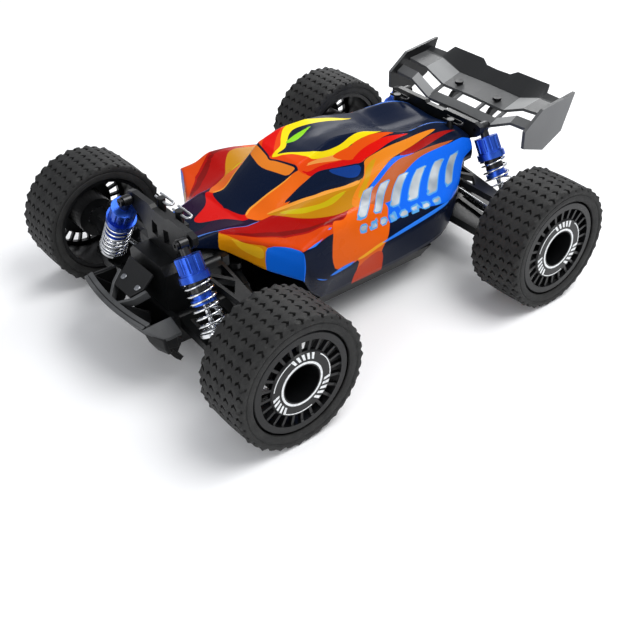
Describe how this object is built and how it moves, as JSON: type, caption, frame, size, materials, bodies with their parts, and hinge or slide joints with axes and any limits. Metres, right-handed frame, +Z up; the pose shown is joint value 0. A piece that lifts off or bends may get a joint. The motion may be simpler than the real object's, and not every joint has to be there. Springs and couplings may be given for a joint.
{
  "type": "remote control car",
  "caption": "Off-road buggy toy with knobbed wheels, sprung suspension, steered front axle, shaft drive, painted shell and rear wing.",
  "frame": {"origin": "on the ground, at the middle of the overall length and width", "axes": "+X towards the front of the car, +Y to its left, +Z up"},
  "size_m": [0.295, 0.225, 0.0999],
  "materials": {
    "floor_plastic": "moulded nylon",
    "shell_paint": "painted polycarbonate shell",
    "suspension_plastic": "moulded nylon",
    "wing_plastic": "satin grey moulding",
    "tyre": "knobbed rubber",
    "rim_plastic": "satin black with printed ring",
    "steel": "turned steel",
    "spring_steel": "bright coil",
    "blue_anodised": "blue anodised",
    "battery_wrap": "shrink wrap",
    "motor_can": "plated can"
  },
  "bodies": {
    "root": {"chassis": "floor_plastic", "body_shell": "shell_paint", "front_bumper": "floor_plastic", "shock_towers": "suspension_plastic", "gearbox_housings": "suspension_plastic", "wing": "wing_plastic", "servo_and_receiver": "suspension_plastic", "battery": "battery_wrap", "motor": "motor_can", "fasteners": "steel"},
    "steering_crank": {"steering_crank": "suspension_plastic"},
    "drag_link": {"drag_link": "suspension_plastic"},
    "tie_rod_left": {"tie_rod_left": "suspension_plastic"},
    "tie_rod_right": {"tie_rod_right": "suspension_plastic"},
    "centre_shaft": {"centre_shaft": "steel"},
    "motor_pinion": {"motor_pinion": "steel"},
    "front_differential": {"front_differential": "steel"},
    "rear_differential": {"rear_differential": "steel"},
    "front_left_arm": {"front_left_lower_arm": "suspension_plastic"},
    "front_left_link": {"front_left_upper_link": "suspension_plastic"},
    "front_left_hub": {"front_left_caster_hub": "suspension_plastic"},
    "front_left_damper": {"front_left_shock_body": "blue_anodised", "front_left_shock_spring": "spring_steel"},
    "front_left_piston": {"front_left_shock_shaft": "spring_steel"},
    "front_left_halfshaft": {"front_left_dogbone": "steel"},
    "front_left_wheel": {"front_left_tyre": "tyre", "front_left_rim": "rim_plastic", "front_left_wheel_axle": "steel"},
    "front_left_knuckle": {"front_left_knuckle": "suspension_plastic"},
    "rear_left_arm": {"rear_left_lower_arm": "suspension_plastic"},
    "rear_left_link": {"rear_left_upper_link": "suspension_plastic"},
    "rear_left_hub": {"rear_left_hub": "suspension_plastic"},
    "rear_left_damper": {"rear_left_shock_body": "blue_anodised", "rear_left_shock_spring": "spring_steel"},
    "rear_left_piston": {"rear_left_shock_shaft": "spring_steel"},
    "rear_left_halfshaft": {"rear_left_dogbone": "steel"},
    "rear_left_wheel": {"rear_left_tyre": "tyre", "rear_left_rim": "rim_plastic", "rear_left_wheel_axle": "steel"},
    "front_right_arm": {"front_right_lower_arm": "suspension_plastic"},
    "front_right_link": {"front_right_upper_link": "suspension_plastic"},
    "front_right_hub": {"front_right_caster_hub": "suspension_plastic"},
    "front_right_damper": {"front_right_shock_body": "blue_anodised", "front_right_shock_spring": "spring_steel"},
    "front_right_piston": {"front_right_shock_shaft": "spring_steel"},
    "front_right_halfshaft": {"front_right_dogbone": "steel"},
    "front_right_wheel": {"front_right_tyre": "tyre", "front_right_rim": "rim_plastic", "front_right_wheel_axle": "steel"},
    "front_right_knuckle": {"front_right_knuckle": "suspension_plastic"},
    "rear_right_arm": {"rear_right_lower_arm": "suspension_plastic"},
    "rear_right_link": {"rear_right_upper_link": "suspension_plastic"},
    "rear_right_hub": {"rear_right_hub": "suspension_plastic"},
    "rear_right_damper": {"rear_right_shock_body": "blue_anodised", "rear_right_shock_spring": "spring_steel"},
    "rear_right_piston": {"rear_right_shock_shaft": "spring_steel"},
    "rear_right_halfshaft": {"rear_right_dogbone": "steel"},
    "rear_right_wheel": {"rear_right_tyre": "tyre", "rear_right_rim": "rim_plastic", "rear_right_wheel_axle": "steel"}
  },
  "joints": [
    {"name": "drive", "type": "hinge", "parent": "root", "child": "centre_shaft", "pos_m": [-0.0165, 0, 0.043], "axis": [1, 0, 0], "continuous": true},
    {"name": "steering", "type": "hinge", "parent": "root", "child": "steering_crank", "pos_m": [0.0675, -0.014, 0.05], "axis": [0, 0, -1], "range_deg": [-25, 25]},
    {"name": "motor_turn", "type": "hinge", "parent": "root", "child": "motor_pinion", "pos_m": [-0.0165, 0.02389, 0.03], "axis": [1, 0, 0], "continuous": true},
    {"name": "front_diff_turn", "type": "hinge", "parent": "root", "child": "front_differential", "pos_m": [0.1035, 0, 0.043], "axis": [0, 1, 0], "continuous": true},
    {"name": "rear_diff_turn", "type": "hinge", "parent": "root", "child": "rear_differential", "pos_m": [-0.0835, 0, 0.043], "axis": [0, 1, 0], "continuous": true},
    {"name": "drag_slide", "type": "slide", "parent": "root", "child": "drag_link", "axis": [0, -1, 0], "range_m": [-0.0052, 0.0052]},
    {"name": "front_left_travel", "type": "hinge", "parent": "root", "child": "front_left_arm", "pos_m": [0.1035, 0.022, 0.032], "axis": [1, 0, 0], "range_deg": [0, 13], "stiffness_Nm_per_rad": 1.2, "springref_deg": -14.9},
    {"name": "front_left_link_swing", "type": "hinge", "parent": "root", "child": "front_left_link", "pos_m": [0.1035, 0.022, 0.058], "axis": [1, 0, 0], "range_deg": [0, 13]},
    {"name": "front_left_hub_swing", "type": "hinge", "parent": "front_left_arm", "child": "front_left_hub", "pos_m": [0.1035, 0.072, 0.027], "axis": [1, 0, 0], "range_deg": [-13, 0]},
    {"name": "front_left_steer", "type": "hinge", "parent": "front_left_hub", "child": "front_left_knuckle", "pos_m": [0.1035, 0.072, 0.038], "axis": [0, 0, 1], "range_deg": [-25, 25]},
    {"name": "front_left_wheel_spin", "type": "hinge", "parent": "front_left_knuckle", "child": "front_left_wheel", "pos_m": [0.1035, 0.095, 0.038], "axis": [0, 1, 0], "continuous": true},
    {"name": "front_left_damper_swing", "type": "hinge", "parent": "root", "child": "front_left_damper", "pos_m": [0.114, 0.0278, 0.081], "axis": [1, 0, 0], "range_deg": [0, 3.5]},
    {"name": "front_left_piston_slide", "type": "slide", "parent": "front_left_damper", "child": "front_left_piston", "axis": [0, -0.5126, 0.8586], "range_m": [0, 0.00713], "deforming": ["front_left_shock_spring"]},
    {"name": "front_left_halfshaft_turn", "type": "hinge", "parent": "front_left_arm", "child": "front_left_halfshaft", "pos_m": [0.1035, 0.022, 0.043], "axis": [0, 0.995, -0.0995], "continuous": true},
    {"name": "rear_left_travel", "type": "hinge", "parent": "root", "child": "rear_left_arm", "pos_m": [-0.0835, 0.022, 0.032], "axis": [1, 0, 0], "range_deg": [0, 13], "stiffness_Nm_per_rad": 1.2, "springref_deg": -14.9},
    {"name": "rear_left_link_swing", "type": "hinge", "parent": "root", "child": "rear_left_link", "pos_m": [-0.0835, 0.022, 0.058], "axis": [1, 0, 0], "range_deg": [0, 13]},
    {"name": "rear_left_hub_swing", "type": "hinge", "parent": "rear_left_arm", "child": "rear_left_hub", "pos_m": [-0.0835, 0.072, 0.027], "axis": [1, 0, 0], "range_deg": [-13, 0]},
    {"name": "rear_left_wheel_spin", "type": "hinge", "parent": "rear_left_hub", "child": "rear_left_wheel", "pos_m": [-0.0835, 0.095, 0.038], "axis": [0, 1, 0], "continuous": true},
    {"name": "rear_left_damper_swing", "type": "hinge", "parent": "root", "child": "rear_left_damper", "pos_m": [-0.096, 0.034, 0.082], "axis": [1, 0, 0], "range_deg": [0, 4.38]},
    {"name": "rear_left_piston_slide", "type": "slide", "parent": "rear_left_damper", "child": "rear_left_piston", "axis": [0, -0.5098, 0.8603], "range_m": [0, 0.00846], "deforming": ["rear_left_shock_spring"]},
    {"name": "rear_left_halfshaft_turn", "type": "hinge", "parent": "rear_left_arm", "child": "rear_left_halfshaft", "pos_m": [-0.0835, 0.022, 0.043], "axis": [0, 0.995, -0.0995], "continuous": true},
    {"name": "tie_rod_left_swing", "type": "hinge", "parent": "drag_link", "child": "tie_rod_left", "pos_m": [0.0795, 0.022, 0.047], "axis": [1, 0, 0], "range_deg": [0, 13]},
    {"name": "front_right_travel", "type": "hinge", "parent": "root", "child": "front_right_arm", "pos_m": [0.1035, -0.022, 0.032], "axis": [-1, 0, 0], "range_deg": [0, 13], "stiffness_Nm_per_rad": 1.2, "springref_deg": -14.9},
    {"name": "front_right_link_swing", "type": "hinge", "parent": "root", "child": "front_right_link", "pos_m": [0.1035, -0.022, 0.058], "axis": [-1, 0, 0], "range_deg": [0, 13]},
    {"name": "front_right_hub_swing", "type": "hinge", "parent": "front_right_arm", "child": "front_right_hub", "pos_m": [0.1035, -0.072, 0.027], "axis": [-1, 0, 0], "range_deg": [-13, 0]},
    {"name": "front_right_steer", "type": "hinge", "parent": "front_right_hub", "child": "front_right_knuckle", "pos_m": [0.1035, -0.072, 0.038], "axis": [0, 0, 1], "range_deg": [-25, 25]},
    {"name": "front_right_wheel_spin", "type": "hinge", "parent": "front_right_knuckle", "child": "front_right_wheel", "pos_m": [0.1035, -0.095, 0.038], "axis": [0, 1, 0], "continuous": true},
    {"name": "front_right_damper_swing", "type": "hinge", "parent": "root", "child": "front_right_damper", "pos_m": [0.114, -0.0278, 0.081], "axis": [-1, 0, 0], "range_deg": [0, 3.5]},
    {"name": "front_right_piston_slide", "type": "slide", "parent": "front_right_damper", "child": "front_right_piston", "axis": [0, 0.5126, 0.8586], "range_m": [0, 0.00713], "deforming": ["front_right_shock_spring"]},
    {"name": "front_right_halfshaft_turn", "type": "hinge", "parent": "front_right_arm", "child": "front_right_halfshaft", "pos_m": [0.1035, -0.022, 0.043], "axis": [0, 0.995, 0.0995], "continuous": true},
    {"name": "rear_right_travel", "type": "hinge", "parent": "root", "child": "rear_right_arm", "pos_m": [-0.0835, -0.022, 0.032], "axis": [-1, 0, 0], "range_deg": [0, 13], "stiffness_Nm_per_rad": 1.2, "springref_deg": -14.9},
    {"name": "rear_right_link_swing", "type": "hinge", "parent": "root", "child": "rear_right_link", "pos_m": [-0.0835, -0.022, 0.058], "axis": [-1, 0, 0], "range_deg": [0, 13]},
    {"name": "rear_right_hub_swing", "type": "hinge", "parent": "rear_right_arm", "child": "rear_right_hub", "pos_m": [-0.0835, -0.072, 0.027], "axis": [-1, 0, 0], "range_deg": [-13, 0]},
    {"name": "rear_right_wheel_spin", "type": "hinge", "parent": "rear_right_hub", "child": "rear_right_wheel", "pos_m": [-0.0835, -0.095, 0.038], "axis": [0, 1, 0], "continuous": true},
    {"name": "rear_right_damper_swing", "type": "hinge", "parent": "root", "child": "rear_right_damper", "pos_m": [-0.096, -0.034, 0.082], "axis": [-1, 0, 0], "range_deg": [0, 4.38]},
    {"name": "rear_right_piston_slide", "type": "slide", "parent": "rear_right_damper", "child": "rear_right_piston", "axis": [0, 0.5098, 0.8603], "range_m": [0, 0.00846], "deforming": ["rear_right_shock_spring"]},
    {"name": "rear_right_halfshaft_turn", "type": "hinge", "parent": "rear_right_arm", "child": "rear_right_halfshaft", "pos_m": [-0.0835, -0.022, 0.043], "axis": [0, 0.995, 0.0995], "continuous": true},
    {"name": "tie_rod_right_swing", "type": "hinge", "parent": "drag_link", "child": "tie_rod_right", "pos_m": [0.0795, -0.022, 0.047], "axis": [-1, 0, 0], "range_deg": [0, 13]}
  ],
  "couplings": [
    {"joint": "motor_turn", "follows": "drive", "ratio": -2.7778},
    {"joint": "front_diff_turn", "follows": "drive", "ratio": 0.33333},
    {"joint": "rear_diff_turn", "follows": "drive", "ratio": 0.33333},
    {"joint": "drag_slide", "follows": "steering", "m_per_rad": 0.0117},
    {"joint": "front_left_link_swing", "follows": "front_left_travel", "ratio": 1},
    {"joint": "front_left_hub_swing", "follows": "front_left_travel", "ratio": -1},
    {"joint": "front_left_steer", "follows": "steering", "ratio": 1},
    {"joint": "front_left_wheel_spin", "follows": "drive", "ratio": 0.33333},
    {"joint": "front_left_damper_swing", "follows": "front_left_travel", "ratio": 0.25394},
    {"joint": "front_left_piston_slide", "follows": "front_left_travel", "m_per_rad": 0.030977},
    {"joint": "front_left_halfshaft_turn", "follows": "drive", "ratio": 0.33333},
    {"joint": "rear_left_link_swing", "follows": "rear_left_travel", "ratio": 1},
    {"joint": "rear_left_hub_swing", "follows": "rear_left_travel", "ratio": -1},
    {"joint": "rear_left_wheel_spin", "follows": "drive", "ratio": 0.33333},
    {"joint": "rear_left_damper_swing", "follows": "rear_left_travel", "ratio": 0.32129},
    {"joint": "rear_left_piston_slide", "follows": "rear_left_travel", "m_per_rad": 0.036845},
    {"joint": "rear_left_halfshaft_turn", "follows": "drive", "ratio": 0.33333},
    {"joint": "tie_rod_left_swing", "follows": "front_left_travel", "ratio": 1},
    {"joint": "front_right_link_swing", "follows": "front_right_travel", "ratio": 1},
    {"joint": "front_right_hub_swing", "follows": "front_right_travel", "ratio": -1},
    {"joint": "front_right_steer", "follows": "steering", "ratio": 1},
    {"joint": "front_right_wheel_spin", "follows": "drive", "ratio": 0.33333},
    {"joint": "front_right_damper_swing", "follows": "front_right_travel", "ratio": 0.25394},
    {"joint": "front_right_piston_slide", "follows": "front_right_travel", "m_per_rad": 0.030977},
    {"joint": "front_right_halfshaft_turn", "follows": "drive", "ratio": 0.33333},
    {"joint": "rear_right_link_swing", "follows": "rear_right_travel", "ratio": 1},
    {"joint": "rear_right_hub_swing", "follows": "rear_right_travel", "ratio": -1},
    {"joint": "rear_right_wheel_spin", "follows": "drive", "ratio": 0.33333},
    {"joint": "rear_right_damper_swing", "follows": "rear_right_travel", "ratio": 0.32129},
    {"joint": "rear_right_piston_slide", "follows": "rear_right_travel", "m_per_rad": 0.036845},
    {"joint": "rear_right_halfshaft_turn", "follows": "drive", "ratio": 0.33333},
    {"joint": "tie_rod_right_swing", "follows": "front_right_travel", "ratio": 1}
  ]
}
